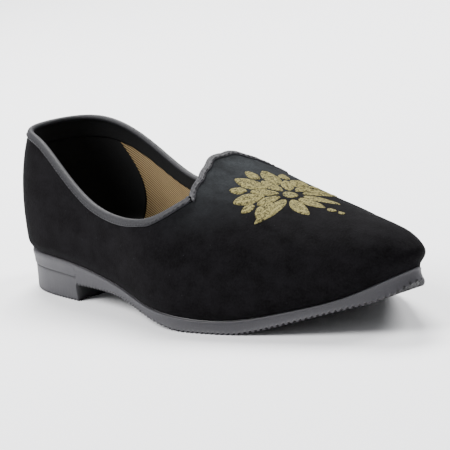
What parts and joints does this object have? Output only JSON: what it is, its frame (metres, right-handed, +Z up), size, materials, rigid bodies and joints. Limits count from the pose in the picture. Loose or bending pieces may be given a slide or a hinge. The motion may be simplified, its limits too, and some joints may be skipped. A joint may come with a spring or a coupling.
{
  "type": "nagra shoe",
  "caption": "Black suede nagra slip-on for the right foot with a pointed lifted toe, short tongue, grey bound collar, gold thread motif and grey moulded rubber sole",
  "frame": {"origin": "On the floor, under the middle of the shoe's box", "axes": "+X from heel to toe, +Y to the inner side of the right foot, +Z up"},
  "size_m": [0.2976, 0.0974, 0.0818],
  "materials": {
    "rubber": "matte moulded rubber",
    "insole": "dark fabric sock over board",
    "suede": "black buffed suede nap",
    "binding": "grey thin leather, folded and stitched",
    "lining": "khaki cotton twill",
    "dark_lining": "black brushed fabric",
    "gold_thread": "antique gold metallic thread"
  },
  "bodies": {
    "root": {"outsole": "rubber", "insole": "insole", "upper": "suede", "quarter_binding": "binding", "tongue_binding": "binding"}
  },
  "joints": []
}
